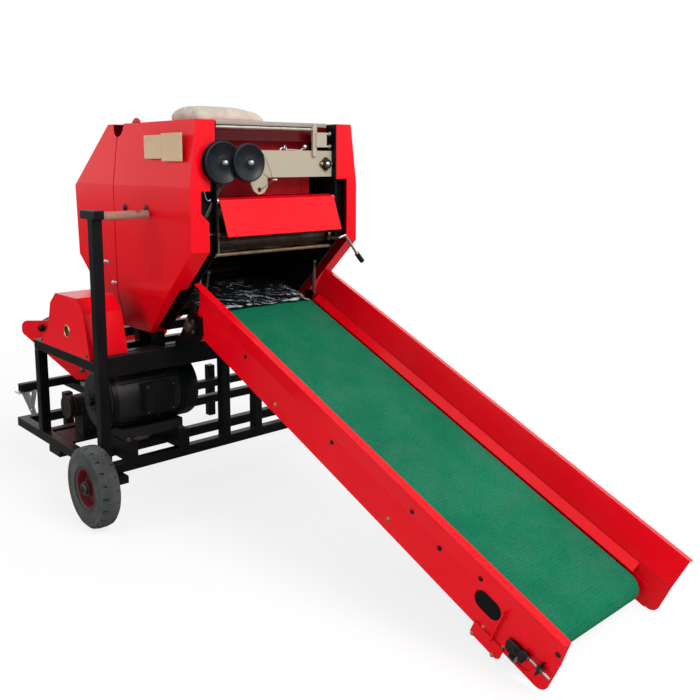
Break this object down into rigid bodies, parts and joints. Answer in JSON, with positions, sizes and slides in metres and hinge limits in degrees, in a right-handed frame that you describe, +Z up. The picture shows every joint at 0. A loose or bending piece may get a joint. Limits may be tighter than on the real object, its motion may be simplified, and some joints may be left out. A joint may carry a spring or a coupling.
{
  "type": "towed round baler and bale wrapper",
  "caption": "Small towed round baler with a sloping feed belt, faceted bale chamber and a turntable wrapper on a square-tube frame.",
  "frame": {"origin": "on the ground, at the middle of the overall length and width", "axes": "+X forward along the feed belt towards its low end, +Y to the machine's far side, +Z up"},
  "size_m": [3.424, 1.474, 1.5533],
  "materials": {
    "frame_black": "semi-gloss black paint",
    "red_paint": "gloss red paint",
    "tyre_rubber": "dusty solid rubber",
    "rim_red": "red paint",
    "belt_green": "ribbed green belt",
    "bare_steel": "bare and zinc-plated steel",
    "dark_steel": "dark steel",
    "beige_paint": "satin beige paint",
    "black_plastic": "matt black",
    "wood": "bare turned wood",
    "sack_cloth": "woven sack"
  },
  "bodies": {
    "machine": {"axle_far": "frame_black", "axle_near": "frame_black", "belt_pan": "red_paint", "belt_skirts": "red_paint", "chain_guard": "red_paint", "chamber_rollers": "dark_steel", "cover_far": "red_paint", "cover_near": "red_paint", "crank": "bare_steel", "feed_belt": "belt_green", "film_bar": "wood", "film_post": "frame_black", "flange_bearing": "dark_steel", "flat_beam": "beige_paint", "front_beam": "frame_black", "guide_rod": "bare_steel", "head_bracket_far": "frame_black", "head_bracket_near": "frame_black", "head_drum": "bare_steel", "hex_lever": "beige_paint", "inner_shield": "red_paint", "lower_frame": "frame_black", "motor": "dark_steel", "motor_base": "frame_black", "pump": "dark_steel", "rear_stand": "frame_black", "roll_bracket": "beige_paint", "roof": "red_paint", "side_plate_far": "frame_black", "side_plate_near": "frame_black", "tail_drum": "bare_steel", "take_ups": "dark_steel", "top_rod": "bare_steel", "twine_sack": "sack_cloth", "upper_frame": "frame_black", "wall_far": "red_paint", "wall_near": "red_paint", "wall_stays": "bare_steel", "wrapper_base": "frame_black"},
    "rear_door": {"door": "red_paint", "door_cover_near": "red_paint", "door_cover_far": "red_paint", "door_rollers": "dark_steel"},
    "wheel_near": {"rim_near": "rim_red", "tyre_near": "tyre_rubber"},
    "wheel_far": {"rim_far": "rim_red", "tyre_far": "tyre_rubber"},
    "hood": {"hood": "red_paint"},
    "feed_roller": {"feed_roller": "dark_steel"},
    "drum_left": {"drum_left": "black_plastic"},
    "drum_right": {"drum_right": "black_plastic"},
    "turntable": {"table_frame": "frame_black", "table_cheeks": "red_paint", "table_rollers": "bare_steel", "table_belt": "belt_green"}
  },
  "joints": [
    {"name": "door_swing", "type": "hinge", "parent": "machine", "child": "rear_door", "pos_m": [-0.37096, 0, 1.478], "axis": [0, 1, 0], "range_deg": [0, 70]},
    {"name": "wheel_near_spin", "type": "hinge", "parent": "machine", "child": "wheel_near", "pos_m": [-0.05597, -0.691, 0.153], "axis": [0, 1, 0], "continuous": true},
    {"name": "wheel_far_spin", "type": "hinge", "parent": "machine", "child": "wheel_far", "pos_m": [-0.05597, 0.691, 0.153], "axis": [0, 1, 0], "continuous": true},
    {"name": "hood_lift", "type": "hinge", "parent": "machine", "child": "hood", "pos_m": [0.18604, 0, 1.198], "axis": [0, -1, 0], "range_deg": [0, 60]},
    {"name": "feed_roller_spin", "type": "hinge", "parent": "machine", "child": "feed_roller", "pos_m": [0.11403, 0, 1.04], "axis": [0, 1, 0], "continuous": true},
    {"name": "drum_left_spin", "type": "hinge", "parent": "machine", "child": "drum_left", "pos_m": [0.21104, -0.275, 1.336], "axis": [1, 0, 0], "continuous": true},
    {"name": "drum_right_spin", "type": "hinge", "parent": "machine", "child": "drum_right", "pos_m": [0.23703, -0.178, 1.336], "axis": [1, 0, 0], "continuous": true},
    {"name": "table_spin", "type": "hinge", "parent": "machine", "child": "turntable", "pos_m": [-1.25596, 0, 0.3], "axis": [0, 0, 1], "continuous": true}
  ]
}
